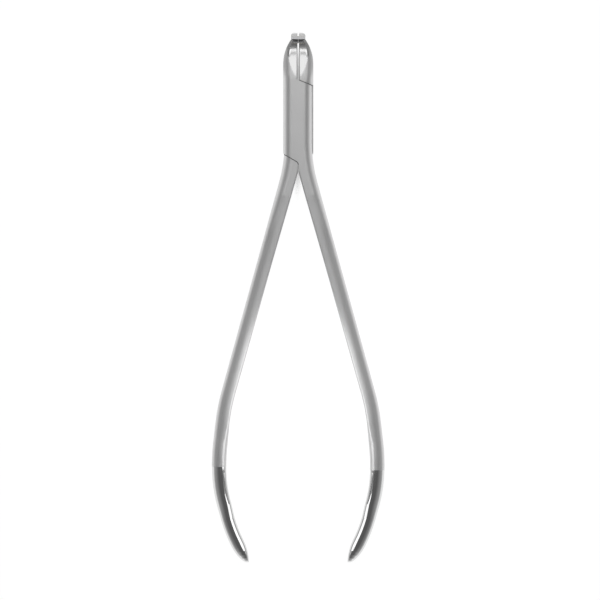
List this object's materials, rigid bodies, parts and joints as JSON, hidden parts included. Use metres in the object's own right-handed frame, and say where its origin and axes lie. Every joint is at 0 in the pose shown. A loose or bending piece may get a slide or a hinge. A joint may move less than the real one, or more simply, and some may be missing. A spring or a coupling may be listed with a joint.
{
  "type": "orthodontic cutting pliers",
  "caption": "Slim steel orthodontic pliers with a lap joint, long curved handles and carbide-tipped jaws bent up at a right angle, closed.",
  "frame": {"origin": "where the pivot axis meets the flat front face of the joint", "axes": "+Y along the tool towards the jaw tips, +Z out of the front face, the way the bent tips point, X across the jaws"},
  "size_m": [0.0494, 0.1511, 0.0084],
  "materials": {
    "satin_steel": "satin",
    "screw_steel": "satin",
    "carbide": "polished",
    "braze": "satin"
  },
  "bodies": {
    "front_lever": {"front_lever": "satin_steel", "cutting_insert_left": "carbide", "braze_left": "braze", "pivot_screw": "screw_steel"},
    "rear_lever": {"rear_lever": "satin_steel", "cutting_insert_right": "carbide", "braze_right": "braze"}
  },
  "joints": [
    {"name": "pivot", "type": "hinge", "parent": "front_lever", "child": "rear_lever", "pos_m": [0, 0, 0], "axis": [0, 0, -1], "range_deg": [0, 22]}
  ]
}
